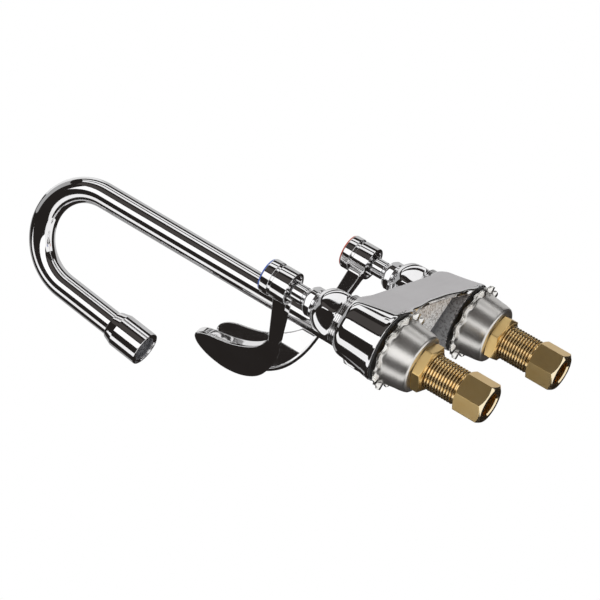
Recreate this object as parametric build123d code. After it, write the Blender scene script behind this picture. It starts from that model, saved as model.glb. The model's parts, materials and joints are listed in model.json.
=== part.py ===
from build123d import *
import os
from math import pi

# A deck faucet with two wrist-blade handles and a swinging gooseneck spout.
# Millimetres. The origin lies on the deck, midway between the two inlets.
# +X is the user's right (cold), -Y is towards the user and +Z is up.

# Clearances
thread_gap = 0.05        # radial, between a thread's crest and the bore round it
running_gap = 0.05       # radial, between a turning shaft and its bore
push_gap = 0.10          # radial, between a piece and the socket it is pushed into
moving_gap = 0.30        # between a turning piece and a fixed neighbour that it doesn't bear on
groove_gap = 0.08        # above and below a seal in its groove
cut_margin = 1.0         # how far a cut runs past the face that it opens

# Valve bodies of the casting
inlet_spacing = 101.6    # four inch centres
bell_rim_r = 22.4
bell_waist_r = 20.25     # the bell's sides flare out to the rim
bell_waist_z = 10.5
bell_shoulder_r = 18.9   # where the rounded shoulder starts
bell_shoulder_z = 21.2
bell_height = 27.0
bell_top_r = 15.8
bell_wall = 2.6          # wall at the waist
boss_r = 14.0            # column inside the bell, round the shank's socket
boss_recess = 2.0        # how far the column stops above the deck
pocket_height = 11.0     # hollow between the bell and its column
socket_depth = 12.0      # thread engagement of the shank
socket_shoulder = 1.0    # metal between the shank's end and the valve seat
collar_r = 11.2          # threaded collar that takes the bonnet nut
collar_height = 10.0

# Bridge of the casting
back_y = 21.0            # back face at the deck
back_lean = 0.20         # forward lean of the back face, per unit of height
back_height = 25.5
back_bottom_z = 2.2      # lower edge of the back, between the bells
back_wall = 3.6
web_corner = 21.8        # from each valve's axis to the corner of the web between the bells
web_recess = 2.5
roof_z = 15.0            # underside of the bridge between web and bells
front_top_z = 21.0       # top of the bridge at its front
slope_start_y = -12.0
arm_half_width = 10.0    # half width of each limb of the bridge, from bell to spout
waterway_r = 4.0
waterway_wall = 3.4
waterway_valve_z = 19.0
waterway_spout_z = 16.0

# Inlet shank, half inch straight pipe thread
shank_r = 10.5
thread_pitch = 1.8143
thread_depth = 1.05
thread_crest = 0.45      # width of the flat on top of each thread
shank_length = 50.0      # thread below the deck
shank_bore_r = 5.6
tail_r = 8.3             # reduced end inside the coupling nut
tail_length = 10.0
tube_socket_r = 6.45     # takes a half inch supply tube
tube_socket_depth = 12.0

# Gasket between each bell and the deck
gasket_r = 21.0
gasket_height = 2.4
rim_lip = 1.8            # lip of the bell's rim, round the gasket

# Lock cup and lock nut, which clamp the deck from below
cup_rim_z = -6.9
cup_height = 16.2
cup_wall = 1.2
cup_rim_r = 24.2
cup_throat_r = 19.8      # wall just below the toothed rim
cup_floor_r = 17.7
cup_flare = 2.2          # height of the flared rim
cup_teeth = 12
cup_tooth_depth = 1.8
cup_hole_gap = 0.3
lock_nut_flats = 25.4
lock_nut_height = 6.0
lock_nut_face_r = 11.9
lock_nut_face = 0.8
lock_nut_bevel = 0.8
lock_nut_turn = {"cold": -4.5, "hot": 17.0}  # where each comes tight, in degrees

# Coupling nut and ferrule
coupling_flats = 22.2
coupling_length = 17.8
coupling_hole_r = 6.9
coupling_start_gap = 0.2
coupling_bevel = 1.4
coupling_turn = 4.5      # where the coupling nuts come tight, in degrees
ferrule_height = 3.0

# Valve cartridge
seal_height = 2.0
cartridge_r = 8.5
cartridge_flange_r = 10.9
cartridge_flange = 2.0
neck_r = 6.8
neck_height = 12.0       # neck above its flange
disc_chamber_r = 7.5
disc_thickness = 3.0
disc_gap = 0.05
disc_port_r = 1.6
disc_port_offset = 3.6
window_width = 6.0
window_height = 3.0

# Stem
stem_r = 5.4
stem_foot_r = 7.2
stem_foot = 2.4
spline_r = 4.6
o_ring_wire_r = 0.62
screw_r = 2.0
screw_length = 12.0
screw_head_r = 5.2
screw_head = 2.2
screw_slot = 1.2

# Bonnet ring, bonnet nut and packing nut
ring_r = 15.4
ring_height = 3.6
ring_groove = 0.5        # depth of the grooves round the ring
ring_bands = 5           # lands and grooves, in turn
bonnet_flats = 27.0
bonnet_height = 17.2
bonnet_skirt = 3.0       # height of the upright hexagon below the dome
bonnet_top_r = 9.2
dome_bevel = 1.8         # bevel below the corners of a domed nut
nut_turn = 21.0          # where the bonnet nuts and the spout's nut come tight, in degrees
packing_flange_r = 9.0
packing_flange = 1.2
packing_flats = 15.9
packing_hex = 5.0
packing_bevel = 0.6
packing_turn = -8.0      # where the packing nuts come tight, in degrees
packing_ring_height = 1.4

# Handle
hub_r = 10.2
hub_bottom_z = 65.0
hub_height = 10.0
hub_recess = 2.0
hub_recess_r = 8.4
hub_web = 5.0
cap_socket_r = 8.6
handle_turn = 28.0       # closed handles point inwards by this angle, in degrees
arm_bottom_z = 68.8
arm_drop = 2.2           # how much deeper the arm is at the hub than at the blade
arm_top_z = 75.3
arm_width_hub = 9.0
arm_width_blade = 6.4
arm_length = 46.0        # from the valve's axis to where the blade starts
blade_thickness = 6.0
blade_height = 51.2      # from the arm's top to the blade's tip
blade_reach = 91.0       # from the valve's axis to the blade's outer edge
blade_width = 21.0
blade_knee = (0.62, 0.30)      # bend of the inner edge: shares of the way to the blade, and up it
blade_shoulder = (0.05, 0.82)  # the rest are shares of the blade's width from its inner edge, and up it
blade_tip = (0.40, 1.00)
blade_crown = (0.76, 0.90)
blade_belly = (1.00, 0.53)
blade_chin = (0.40, 0.14)

# Index cap and index button
cap_r = 10.5
cap_seam = 1.6
cap_seam_r = 9.2
cap_height = 5.6
cap_stub_wall = 1.4
cap_stub = 2.5
button_r = 9.9
button_height = 0.8
peg_r = 3.0
peg_length = 2.2

# Spout joint
spout_y = -29.0
spout_boss_r = 12.5
spout_boss_bottom_z = 13.0
spout_boss_floor = 2.5
spout_thread_r = 11.5
spout_thread_height = 6.5
sleeve_r = 9.5
sleeve_bore_gap = 0.10
sleeve_plug = 10.0
sleeve_flange_r = 11.0
sleeve_flange = 2.0
sleeve_neck_r = 9.1
sleeve_neck = 9.0
sleeve_bevel = 0.8
spout_o_ring_wire_r = 0.75
washer_height = 1.0
spout_nut_flats = 26.0
spout_nut_skirt = 6.0
spout_nut_top = 2.0
spout_nut_top_r = 11.2

# Gooseneck tube
tube_r = 7.9375          # five eighths of an inch outside
tube_wall = 1.25
tube_seat = 9.5          # how far the tube goes into the sleeve
bend_z = 220.6           # height of the bend's centre
bend_r = 32.3
bend_turn = 173.1
leg_length = 66.0        # from the bend to the outlet's rim

# Outlet and aerator, measured along the leg
outlet_r = 11.0
outlet_barrel = 20.0
outlet_cone = 5.6
outlet_lip = 1.0         # wall of the outlet where it meets the tube
outlet_seat = 10.0       # how far the tube goes into the outlet
aerator_r = 9.55
aerator_wall = 1.0
aerator_length = 12.6
aerator_recess = 0.5
aerator_lip = 0.7
insert_recess = 1.4
insert_plate = 2.0
insert_skirt = 1.2
insert_hole_r = 0.65
insert_ring_pitch = 2.8  # from each ring of holes to the next
insert_ring_count = 2    # rings of holes round the middle one
holes_per_ring = 6       # in the first ring, and as many more in each ring after it
screen_height = 0.6
outlet_washer_height = 1.5

# Heights that follow from the sizes above
socket_top_z = boss_recess + socket_depth
chamber_floor_z = socket_top_z + socket_shoulder
collar_top_z = bell_height + collar_height
cartridge_bottom_z = chamber_floor_z + seal_height
flange_top_z = collar_top_z + cartridge_flange
neck_top_z = flange_top_z + neck_height
ring_top_z = bell_height + ring_height
bonnet_top_z = ring_top_z + bonnet_height
packing_top_z = bonnet_top_z + packing_flange + packing_hex
packing_roof_z = neck_top_z + packing_ring_height
upper_disc_z = cartridge_bottom_z + disc_thickness + 2 * disc_gap
foot_z = upper_disc_z + disc_thickness + disc_gap
foot_top_z = foot_z + stem_foot
stem_o_ring_pitch = (neck_top_z - foot_top_z) / 3
stem_o_ring_z = (foot_top_z + stem_o_ring_pitch, foot_top_z + 2 * stem_o_ring_pitch)
hub_top_z = hub_bottom_z + hub_height
web_bottom_z = hub_bottom_z + hub_recess
web_top_z = web_bottom_z + hub_web
cap_bottom_z = hub_top_z + cap_seam
cap_top_z = cap_bottom_z + cap_height
thread_end_z = -shank_length
tail_end_z = thread_end_z - tail_length
cup_floor_z = cup_rim_z - cup_height
coupling_top_z = thread_end_z - coupling_start_gap
coupling_end_z = coupling_top_z - coupling_length
ferrule_top_z = tail_end_z - coupling_start_gap
ferrule_end_z = ferrule_top_z - ferrule_height
boss_top_z = back_height + spout_thread_height
spout_chamber_z = spout_boss_bottom_z + spout_boss_floor
washer_top_z = boss_top_z + washer_height
sleeve_flange_z = washer_top_z + running_gap
glide_z = sleeve_flange_z + sleeve_flange + running_gap
nut_shoulder_z = glide_z + washer_height
sleeve_bottom_z = boss_top_z - sleeve_plug
sleeve_top_z = sleeve_flange_z + sleeve_flange + sleeve_neck
spout_o_ring_z = (sleeve_bottom_z + sleeve_plug / 4, sleeve_bottom_z + sleeve_plug * 3 / 4)
tube_bottom_z = sleeve_bottom_z + tube_seat
valve_x = inlet_spacing / 2
web_half_base = valve_x - web_corner
sides = {"cold": 1, "hot": -1}


def turned(points):
    """A solid turned about +Z from (radius, height) corners joined by straight lines."""
    outline = Polyline(*[(r, 0, z) for r, z in points], close=True)
    return revolve(make_face(outline), Axis.Z)


def ring(outer_r, inner_r, low_z, high_z):
    """A plain ring about +Z."""
    return turned([(inner_r, low_z), (outer_r, low_z), (outer_r, high_z), (inner_r, high_z)])


def rod(radius, low_z, high_z):
    """A plain round bar along +Z."""
    return Pos(0, 0, low_z) * Cylinder(radius, high_z - low_z, align=(Align.CENTER, Align.CENTER, Align.MIN))


def hexagon(flats, low_z, high_z):
    """A hexagonal bar along +Z, with two of its flats facing +Y and -Y."""
    outline = RegularPolygon(flats / 2, 6, major_radius=False)
    return Pos(0, 0, low_z) * extrude(outline, high_z - low_z)


def o_ring(outer_r, wire_r, z):
    """A round-section seal about +Z whose outside reaches outer_r."""
    return Pos(0, 0, z) * Torus(outer_r - wire_r, wire_r)


def bar_between(start, end, radius):
    """A round bar from one point to another."""
    along = Vector(*end) - Vector(*start)
    plane = Plane(origin=start, z_dir=along)
    return plane * Cylinder(radius, along.length, align=(Align.CENTER, Align.CENTER, Align.MIN))


def bell_face():
    """Half section of a bell: sides that flare out to the rim below, and a rounded shoulder above."""
    flare = ThreePointArc(
        (bell_rim_r, 0, 0), (bell_waist_r, 0, bell_waist_z), (bell_shoulder_r, 0, bell_shoulder_z))
    shoulder = TangentArc(flare @ 1, (bell_top_r, 0, bell_height), tangent=flare % 1)
    inside = Polyline((bell_top_r, 0, bell_height), (0, 0, bell_height), (0, 0, 0), (bell_rim_r, 0, 0))
    return make_face(flare + shoulder + inside)


def body_casting():
    """One casting: two bells, the bridge with its flat back, the web, the waterways and the spout boss."""
    back_top_y = back_y - back_lean * back_height
    limb = Vector(-valve_x, spout_y, 0).normalized()
    side = Vector(-limb.Y, limb.X, 0) * arm_half_width
    front_y = spout_y + side.Y
    plan = Polyline(
        (-valve_x, back_y), (valve_x, back_y), (valve_x + side.X, side.Y), (side.X, front_y),
        (-side.X, front_y), (-valve_x - side.X, side.Y), close=True)
    bridge = Pos(0, 0, roof_z) * extrude(make_face(plan), back_height - roof_z)
    section = Polyline(
        (0, back_y, 0), (0, back_top_y, back_height), (0, slope_start_y, back_height),
        (0, front_y - arm_half_width, front_top_z), (0, front_y - arm_half_width, 0), close=True)
    bridge = bridge & extrude(make_face(section), valve_x + bell_rim_r, dir=(1, 0, 0), both=True)
    back_bottom_y = back_y - back_lean * back_bottom_z
    wall_section = Polyline(
        (0, back_bottom_y, back_bottom_z), (0, back_top_y, back_height),
        (0, back_top_y - back_wall, back_height), (0, back_bottom_y - back_wall, back_bottom_z), close=True)
    back = extrude(make_face(wall_section), valve_x, dir=(1, 0, 0), both=True)
    web_plan = Polyline(
        (-web_half_base, back_y - back_wall), (web_half_base, back_y - back_wall), (0, spout_y), close=True)
    web = Pos(0, 0, web_recess) * extrude(make_face(web_plan), roof_z - web_recess)
    shape = bridge + back + web
    shape += Pos(0, spout_y, 0) * rod(spout_boss_r, spout_boss_bottom_z, back_height)
    shape += Pos(0, spout_y, 0) * rod(spout_thread_r, back_height, boss_top_z)
    bell = revolve(bell_face(), Axis.Z)
    bell += rod(collar_r, bell_height, collar_top_z)
    bell += ring(bell_rim_r, gasket_r + push_gap, -rim_lip, 0)
    spout_end_of_waterway = (0, spout_y, waterway_spout_z)
    for x in (valve_x, -valve_x):
        shape += Pos(x, 0, 0) * bell
        shape += bar_between((x, 0, waterway_valve_z), spout_end_of_waterway, waterway_r + waterway_wall)
    behind = Polyline(
        (0, back_y + back_lean * rim_lip, -rim_lip), (0, back_y + bell_rim_r, -rim_lip),
        (0, back_y + bell_rim_r, collar_top_z),
        (0, back_y - back_lean * collar_top_z, collar_top_z), close=True)
    behind_all = extrude(make_face(behind), valve_x + 2 * bell_rim_r, dir=(1, 0, 0), both=True)
    shape -= behind_all
    pocket = ring(bell_waist_r - bell_wall, boss_r, -cut_margin, pocket_height)
    behind_wall = Pos(0, -back_wall, 0) * behind_all
    for x in (valve_x, -valve_x):
        shape -= (Pos(x, 0, 0) * pocket) - behind_wall
        bores = rod(boss_r, -cut_margin, boss_recess) + rod(shank_r + thread_gap, 0, socket_top_z)
        bores += rod(shank_bore_r, 0, chamber_floor_z + seal_height)
        bores += rod(cartridge_r + push_gap, chamber_floor_z, collar_top_z)
        shape -= Pos(x, 0, 0) * bores
        shape -= bar_between((x, 0, waterway_valve_z), spout_end_of_waterway, waterway_r)
    shape -= Pos(0, spout_y, 0) * rod(sleeve_r + sleeve_bore_gap, spout_chamber_z, boss_top_z)
    return shape


def inlet_shank():
    """Threaded brass shank with a reduced tail and a socket for the supply tube."""
    turns = int((shank_length - coupling_start_gap) / thread_pitch)
    profile = [(shank_bore_r, socket_top_z - push_gap), (shank_r, socket_top_z - push_gap), (shank_r, 0)]
    for turn in range(turns):
        crest_z = -turn * thread_pitch
        profile.append((shank_r, crest_z - thread_crest / 2))
        profile.append((shank_r - thread_depth, crest_z - thread_pitch / 2))
        profile.append((shank_r, crest_z - thread_pitch + thread_crest / 2))
    profile += [(shank_r, thread_end_z), (tail_r, thread_end_z), (tail_r, tail_end_z)]
    socket_z = tail_end_z + tube_socket_depth
    profile += [(tube_socket_r, tail_end_z), (tube_socket_r, socket_z), (shank_bore_r, socket_z)]
    return turned(profile)


def deck_gasket():
    """Rubber ring under a bell, with the bell's outline and its flat back."""
    gasket = ring(gasket_r, shank_r + thread_gap, -gasket_height, 0)
    behind = Pos(0, back_y + bell_rim_r, 0) * Box(2 * bell_rim_r, 2 * bell_rim_r, 4 * gasket_height)
    return gasket - behind


def lock_cup():
    """Stamped cup with a flared, toothed rim that bites the deck's underside."""
    flare_z = cup_rim_z - cup_flare
    floor_top_z = cup_floor_z + cup_wall
    hole_r = shank_r + cup_hole_gap
    cup = turned([
        (hole_r, cup_floor_z), (cup_floor_r, cup_floor_z), (cup_throat_r, flare_z),
        (cup_rim_r, cup_rim_z - cup_wall), (cup_rim_r, cup_rim_z),
        (cup_throat_r - cup_wall, flare_z + cup_wall), (cup_floor_r - cup_wall, floor_top_z),
        (hole_r, floor_top_z)])
    gullet_r = pi * cup_rim_r / cup_teeth / 2
    gullet_x = cup_rim_r + gullet_r - cup_tooth_depth
    gullet = Pos(gullet_x, 0, cup_rim_z - cup_flare / 2) * Cylinder(gullet_r, 2 * cup_flare)
    for turn in range(cup_teeth):
        cup -= Rot(0, 0, turn * 360 / cup_teeth) * gullet
    return cup


def chamfered_hexagon(flats, low_z, high_z, bevel):
    """A hexagonal bar with both ends bevelled to the width of its flats."""
    flat_r = flats / 2
    corner_r = flats / 3 ** 0.5
    envelope = turned([
        (0, low_z), (flat_r, low_z), (corner_r, low_z + bevel), (corner_r, high_z - bevel),
        (flat_r, high_z), (0, high_z)])
    return hexagon(flats, low_z, high_z) & envelope


def lock_nut():
    """Thin brass nut under the cup, with a turned face on its outer side."""
    low_z = cup_floor_z - lock_nut_height
    nut = chamfered_hexagon(lock_nut_flats, low_z, cup_floor_z, lock_nut_bevel)
    nut += rod(lock_nut_face_r, low_z - lock_nut_face, low_z)
    return nut - rod(shank_r + thread_gap, low_z - lock_nut_face, cup_floor_z)


def coupling_nut():
    """Long brass nut that squeezes the ferrule on the supply tube."""
    nut = chamfered_hexagon(coupling_flats, coupling_end_z, coupling_top_z, coupling_bevel)
    bore = turned([
        (0, coupling_top_z), (tail_r + thread_gap, coupling_top_z), (tail_r + thread_gap, ferrule_top_z),
        (coupling_hole_r, ferrule_end_z), (coupling_hole_r, coupling_end_z), (0, coupling_end_z)])
    return nut - bore


def ferrule():
    """Soft brass ring, tapered to the coupling nut's seat."""
    return turned([
        (tube_socket_r, ferrule_end_z), (coupling_hole_r - push_gap, ferrule_end_z),
        (tail_r - push_gap, ferrule_top_z), (tube_socket_r, ferrule_top_z)])


def bonnet_ring():
    """Turned and grooved trim ring between the bell and the bonnet nut."""
    step = ring_height / ring_bands
    profile = [(collar_r + thread_gap, bell_height), (ring_r, bell_height)]
    for groove in range(1, ring_bands, 2):
        low_z = bell_height + groove * step
        profile += [(ring_r, low_z), (ring_r - ring_groove, low_z)]
        profile += [(ring_r - ring_groove, low_z + step), (ring_r, low_z + step)]
    profile += [(ring_r, ring_top_z), (collar_r + thread_gap, ring_top_z)]
    return turned(profile)


def domed_hexagon(flats, low_z, skirt_z, top_r, top_z):
    """A hexagon bevelled below, whose corners run up into a dome with a flat top."""
    corner_r = flats / 3 ** 0.5
    skirt = Polyline(
        (0, 0, low_z), (corner_r - dome_bevel, 0, low_z), (corner_r, 0, low_z + dome_bevel),
        (corner_r, 0, skirt_z))
    dome = TangentArc((corner_r, 0, skirt_z), (top_r, 0, top_z), tangent=(0, 0, 1))
    top = Line((top_r, 0, top_z), (0, 0, top_z)) + Line((0, 0, top_z), (0, 0, low_z))
    return hexagon(flats, low_z, top_z) & revolve(make_face(skirt + dome + top), Axis.Z)


def bonnet_nut():
    """Domed hexagon nut that holds the cartridge's flange on the collar."""
    nut = domed_hexagon(bonnet_flats, ring_top_z, ring_top_z + bonnet_skirt, bonnet_top_r, bonnet_top_z)
    nut -= rod(collar_r + thread_gap, ring_top_z, flange_top_z)
    nut -= rod(neck_r + push_gap, ring_top_z, bonnet_top_z)
    return Rot(0, 0, nut_turn) * nut


def packing_nut():
    """Small hexagon nut with a flange, screwed on the cartridge's neck."""
    hex_z = bonnet_top_z + packing_flange
    nut = rod(packing_flange_r, bonnet_top_z, hex_z)
    nut += chamfered_hexagon(packing_flats, hex_z - packing_bevel, packing_top_z, packing_bevel)
    nut -= rod(neck_r + thread_gap, bonnet_top_z, packing_roof_z)
    nut -= rod(stem_r + moving_gap, bonnet_top_z, packing_top_z)
    return Rot(0, 0, packing_turn) * nut


def packing_ring():
    """Seal squeezed between the neck and the packing nut."""
    return ring(neck_r, stem_r + running_gap, neck_top_z, packing_roof_z)


def cartridge_body():
    """Brass sleeve that holds the two discs and guides the stem."""
    shape = rod(cartridge_r, cartridge_bottom_z, collar_top_z)
    shape += rod(cartridge_flange_r, collar_top_z, flange_top_z)
    shape += rod(neck_r, flange_top_z, neck_top_z)
    shape -= rod(disc_chamber_r, cartridge_bottom_z, foot_top_z + disc_gap)
    shape -= rod(stem_r + running_gap, cartridge_bottom_z, neck_top_z)
    window = Box(2 * (cartridge_r + cut_margin), window_width, window_height)
    return shape - Pos(0, 0, upper_disc_z + window_height / 2) * window


def valve_disc(low_z, radius):
    """Ceramic disc with two ports."""
    disc = rod(radius, low_z, low_z + disc_thickness)
    for y in (disc_port_offset, -disc_port_offset):
        disc -= Pos(0, y, 0) * rod(disc_port_r, low_z, low_z + disc_thickness)
    return disc


def seat_seal():
    """Rubber ring under the cartridge."""
    return ring(cartridge_r, shank_bore_r, chamber_floor_z, cartridge_bottom_z)


def stem():
    """Turned stem: foot on the upper disc, two seal grooves, spline end and a tapped hole."""
    groove_r = stem_r - 2 * o_ring_wire_r
    profile = [(0, foot_z), (stem_foot_r, foot_z), (stem_foot_r, foot_top_z), (stem_r, foot_top_z)]
    for z in stem_o_ring_z:
        low_z = z - o_ring_wire_r - groove_gap
        high_z = z + o_ring_wire_r + groove_gap
        profile += [(stem_r, low_z), (groove_r, low_z), (groove_r, high_z), (stem_r, high_z)]
    tip_z = web_top_z - push_gap
    profile += [(stem_r, web_bottom_z), (spline_r, web_bottom_z), (spline_r, tip_z)]
    hole_z = web_top_z - screw_length - push_gap
    profile += [(screw_r + thread_gap, tip_z), (screw_r + thread_gap, hole_z), (0, hole_z)]
    return turned(profile)


def stem_o_rings():
    """Two seals in the stem's grooves."""
    low_z, high_z = stem_o_ring_z
    return o_ring(stem_r, o_ring_wire_r, low_z) + o_ring(stem_r, o_ring_wire_r, high_z)


def handle_screw():
    """Slotted screw that pulls the handle on to the stem."""
    screw = rod(screw_r, web_top_z - screw_length, web_top_z)
    screw += rod(screw_head_r, web_top_z, web_top_z + screw_head)
    slot = Box(2 * screw_head_r, screw_slot, screw_head)
    return screw - Pos(0, 0, web_top_z + screw_head) * slot


def blade_outline():
    """Side view of the arm and blade, with the arm running along +X and the blade turned up."""
    inner_x = blade_reach - blade_width
    knee = (arm_length + blade_knee[0] * (inner_x - arm_length), arm_top_z + blade_knee[1] * blade_height)
    edge = [(inner_x + across * blade_width, arm_top_z + up * blade_height)
            for across, up in (blade_shoulder, blade_tip, blade_crown, blade_belly)]
    chin = (inner_x + blade_chin[0] * blade_width, arm_bottom_z + blade_chin[1] * blade_height)
    heel = (arm_length, arm_top_z)
    root = (arm_length, arm_bottom_z)
    return Spline(heel, knee, *edge, chin, root, tangents=((1, 0), (-1, 0)))


def handle():
    """Wrist-blade lever: hub, tapered arm and a broad upright blade."""
    hub = turned([
        (hub_recess_r, hub_bottom_z), (hub_r, hub_bottom_z), (hub_r, hub_top_z), (cap_socket_r, hub_top_z),
        (cap_socket_r, web_top_z), (spline_r + push_gap, web_top_z), (spline_r + push_gap, web_bottom_z),
        (hub_recess_r, web_bottom_z)])
    start_x = (hub_recess_r + hub_r) / 2
    curve = blade_outline()
    straight = Polyline(curve @ 1, (start_x, arm_bottom_z), (start_x, arm_top_z), curve @ 0)
    upright = Plane(origin=(0, blade_thickness / 2, 0), x_dir=(1, 0, 0), z_dir=(0, -1, 0))
    blade = extrude(upright * make_face(curve + straight), blade_thickness)
    half_hub = arm_width_hub / 2
    half_blade = arm_width_blade / 2
    arm_plan = Polyline(
        (start_x, -half_hub), (arm_length, -half_blade), (arm_length, half_blade), (start_x, half_hub),
        close=True)
    arm_low_z = arm_bottom_z - arm_drop
    arm = Pos(0, 0, arm_low_z) * extrude(make_face(arm_plan), arm_top_z - arm_low_z)
    arm_side = Polyline(
        (start_x, 0, arm_low_z), (arm_length, 0, arm_bottom_z), (arm_length, 0, arm_top_z),
        (start_x, 0, arm_top_z), close=True)
    arm = arm & extrude(make_face(arm_side), arm_width_hub, dir=(0, 1, 0), both=True)
    return Rot(0, 0, -90) * (hub + blade + arm)


def index_cap():
    """Chrome cap with a stub pressed into the hub and a hole for the button's peg."""
    stub_r = cap_socket_r - push_gap
    cap = turned([
        (stub_r - cap_stub_wall, hub_top_z - cap_stub), (stub_r, hub_top_z - cap_stub), (stub_r, hub_top_z),
        (cap_seam_r, hub_top_z), (cap_seam_r, cap_bottom_z), (cap_r, cap_bottom_z), (cap_r, cap_top_z),
        (peg_r + push_gap, cap_top_z), (peg_r + push_gap, cap_top_z - peg_length - push_gap),
        (0, cap_top_z - peg_length - push_gap), (0, cap_bottom_z), (stub_r - cap_stub_wall, cap_bottom_z)])
    return cap


def index_button():
    """Coloured disc on top of the cap, with a peg below."""
    disc = rod(button_r, cap_top_z, cap_top_z + button_height)
    return disc + rod(peg_r, cap_top_z - peg_length, cap_top_z)


def spout_nut():
    """Domed hexagon nut that holds the spout's sleeve down on the boss."""
    top_z = nut_shoulder_z + spout_nut_top
    low_z = back_height + push_gap
    nut = domed_hexagon(spout_nut_flats, low_z, low_z + spout_nut_skirt, spout_nut_top_r, top_z)
    nut -= rod(spout_thread_r + thread_gap, low_z, nut_shoulder_z)
    nut -= rod(sleeve_neck_r + moving_gap, low_z, top_z)
    return Rot(0, 0, nut_turn) * nut


def spout_washers():
    """Two nylon rings, below and above the sleeve's flange."""
    lower = ring(sleeve_flange_r, sleeve_r + moving_gap, boss_top_z, washer_top_z)
    upper = ring(sleeve_flange_r, sleeve_neck_r + moving_gap, glide_z, nut_shoulder_z)
    return lower + upper


def spout_sleeve():
    """Turned sleeve at the foot of the tube: plug with two seal grooves, flange and neck."""
    groove_r = sleeve_r - 2 * spout_o_ring_wire_r
    profile = [(tube_r - tube_wall, sleeve_bottom_z), (sleeve_r, sleeve_bottom_z)]
    for z in spout_o_ring_z:
        low_z = z - spout_o_ring_wire_r - groove_gap
        high_z = z + spout_o_ring_wire_r + groove_gap
        profile += [(sleeve_r, low_z), (groove_r, low_z), (groove_r, high_z), (sleeve_r, high_z)]
    flange_z = sleeve_flange_z + sleeve_flange
    profile += [(sleeve_r, sleeve_flange_z), (sleeve_flange_r, sleeve_flange_z), (sleeve_flange_r, flange_z)]
    profile += [(sleeve_neck_r, flange_z), (sleeve_neck_r, sleeve_top_z - sleeve_bevel)]
    profile += [(sleeve_neck_r - sleeve_bevel, sleeve_top_z), (tube_r + push_gap, sleeve_top_z)]
    profile += [(tube_r + push_gap, tube_bottom_z), (tube_r - tube_wall, tube_bottom_z)]
    return turned(profile)


def spout_o_rings():
    """Two seals in the sleeve's grooves."""
    low_z, high_z = spout_o_ring_z
    return o_ring(sleeve_r, spout_o_ring_wire_r, low_z) + o_ring(sleeve_r, spout_o_ring_wire_r, high_z)


def gooseneck_path(leg):
    """Riser, bend and a leg of the given length, in the plane of the spout."""
    riser = Line((0, 0, tube_bottom_z), (0, 0, bend_z))
    plane = Plane(origin=(0, -bend_r, bend_z), x_dir=(0, 1, 0), z_dir=(1, 0, 0))
    bend = plane * CenterArc((0, 0), bend_r, 0, bend_turn)
    end = bend @ 1
    along = bend % 1
    return riser + bend + Line(end, end + along * leg)


def spout_tube():
    """Bent chrome tube from the sleeve to the outlet."""
    path = gooseneck_path(leg_length - outlet_barrel - outlet_cone + outlet_seat)
    section = Plane(origin=(0, 0, tube_bottom_z)) * (Circle(tube_r) - Circle(tube_r - tube_wall))
    return sweep(section, path=path.wire())


def outlet_frame():
    """Frame at the outlet's rim, with its Z axis pointing back up the leg."""
    path = gooseneck_path(leg_length).wire()
    return Plane(origin=path @ 1, x_dir=(1, 0, 0), z_dir=(path % 1) * -1)


def spout_end():
    """Outlet: a cone from the tube to a barrel with a chamber for the aerator."""
    top = outlet_barrel + outlet_cone
    seat = top - outlet_seat
    chamber = aerator_recess + aerator_length + screen_height + outlet_washer_height
    return turned([
        (aerator_r + thread_gap, 0), (outlet_r - outlet_lip / 2, 0), (outlet_r, outlet_lip / 2),
        (outlet_r, outlet_barrel), (tube_r + push_gap + outlet_lip, top), (tube_r + push_gap, top),
        (tube_r + push_gap, seat), (tube_r - tube_wall, seat), (tube_r - tube_wall, chamber),
        (aerator_r + thread_gap, chamber)])


def aerator_housing():
    """Threaded ring with a lip that holds the insert."""
    inner_r = aerator_r - aerator_wall
    low = aerator_recess
    top = low + aerator_length
    return turned([
        (inner_r - aerator_lip, low), (aerator_r, low), (aerator_r, top), (inner_r, top),
        (inner_r, low + aerator_lip), (inner_r - aerator_lip, low + aerator_lip)])


def hole_rings(low_z, high_z):
    """The small water holes: one in the middle and rings round it."""
    hole = rod(insert_hole_r, low_z, high_z)
    holes = [hole]
    for ring_number in range(1, insert_ring_count + 1):
        count = holes_per_ring * ring_number
        out = Pos(insert_ring_pitch * ring_number, 0, 0)
        holes += [Rot(0, 0, turn * 360 / count) * out * hole for turn in range(count)]
    return holes


def aerator_insert():
    """Plastic cup with a plate of small holes."""
    radius = aerator_r - aerator_wall - push_gap
    low = aerator_recess + aerator_lip
    plate = low + insert_recess
    top = aerator_recess + aerator_length
    cup = turned([
        (radius - insert_skirt, low), (radius, low), (radius, top), (radius - insert_skirt, top),
        (radius - insert_skirt, plate + insert_plate), (0, plate + insert_plate), (0, plate),
        (radius - insert_skirt, plate)])
    return cup - hole_rings(plate, plate + insert_plate)


def aerator_screen():
    """Stainless disc on the insert, with a coarse grid of holes."""
    low = aerator_recess + aerator_length
    return rod(aerator_r - aerator_lip, low, low + screen_height) - hole_rings(low, low + screen_height)


def aerator_washer():
    """Rubber ring between the screen and the outlet's shoulder."""
    low = aerator_recess + aerator_length + screen_height
    return ring(aerator_r - aerator_lip, tube_r - tube_wall, low, low + outlet_washer_height)


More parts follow.
